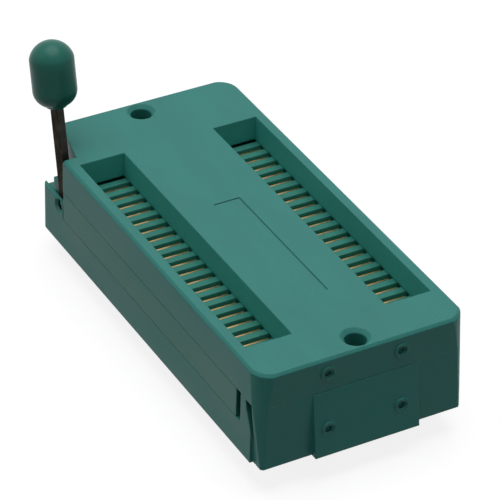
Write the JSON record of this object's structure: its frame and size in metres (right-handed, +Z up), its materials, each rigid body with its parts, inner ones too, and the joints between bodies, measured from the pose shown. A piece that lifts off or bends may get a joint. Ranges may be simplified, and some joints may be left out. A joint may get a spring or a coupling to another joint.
{
  "type": "ic test socket",
  "caption": "Lever-operated zero-insertion-force test socket for dual-in-line chips, with a sliding comb under a cover with two wells and solder tails below.",
  "frame": {"origin": "centre of the contact pattern, on the seating plane under the base", "axes": "+X along the rows away from the lever end, +Y across the rows, +Z up out of the chip wells"},
  "size_m": [0.0535, 0.0264, 0.0275],
  "materials": {
    "base_plastic": "moulded, fine satin",
    "cover_plastic": "moulded, fine satin",
    "slide_plastic": "moulded, fine satin",
    "knob_plastic": "moulded, semi-gloss",
    "lever_steel": "stamped strip, dark",
    "pin_steel": "turned",
    "contact_gold": "gold plated spring strip"
  },
  "bodies": {
    "socket_body": {"base": "base_plastic", "cover": "cover_plastic", "pivot_pin": "pin_steel", "contact_l_01": "contact_gold", "contact_l_02": "contact_gold", "contact_l_03": "contact_gold", "contact_l_04": "contact_gold", "contact_l_05": "contact_gold", "contact_l_06": "contact_gold", "contact_l_07": "contact_gold", "contact_l_08": "contact_gold", "contact_l_09": "contact_gold", "contact_l_10": "contact_gold", "contact_l_11": "contact_gold", "contact_l_12": "contact_gold", "contact_l_13": "contact_gold", "contact_l_14": "contact_gold", "contact_l_15": "contact_gold", "contact_l_16": "contact_gold", "contact_l_17": "contact_gold", "contact_l_18": "contact_gold", "contact_l_19": "contact_gold", "contact_l_20": "contact_gold", "contact_l_21": "contact_gold", "contact_r_01": "contact_gold", "contact_r_02": "contact_gold", "contact_r_03": "contact_gold", "contact_r_04": "contact_gold", "contact_r_05": "contact_gold", "contact_r_06": "contact_gold", "contact_r_07": "contact_gold", "contact_r_08": "contact_gold", "contact_r_09": "contact_gold", "contact_r_10": "contact_gold", "contact_r_11": "contact_gold", "contact_r_12": "contact_gold", "contact_r_13": "contact_gold", "contact_r_14": "contact_gold", "contact_r_15": "contact_gold", "contact_r_16": "contact_gold", "contact_r_17": "contact_gold", "contact_r_18": "contact_gold", "contact_r_19": "contact_gold", "contact_r_20": "contact_gold", "contact_r_21": "contact_gold"},
    "slide_body": {"slide": "slide_plastic"},
    "lever_body": {"lever": "lever_steel", "lever_knob": "knob_plastic"}
  },
  "joints": [
    {"name": "lever_swing", "type": "hinge", "parent": "socket_body", "child": "lever_body", "pos_m": [-0.0223, -0.0114, 0.005], "axis": [0, -1, 0], "range_deg": [0, 78]},
    {"name": "slide_travel", "type": "slide", "parent": "socket_body", "child": "slide_body", "axis": [1, 0, 0], "range_m": [0, 0.00055]}
  ],
  "couplings": [
    {"joint": "lever_swing", "follows": "slide_travel", "rad_per_m": 2475.1}
  ]
}
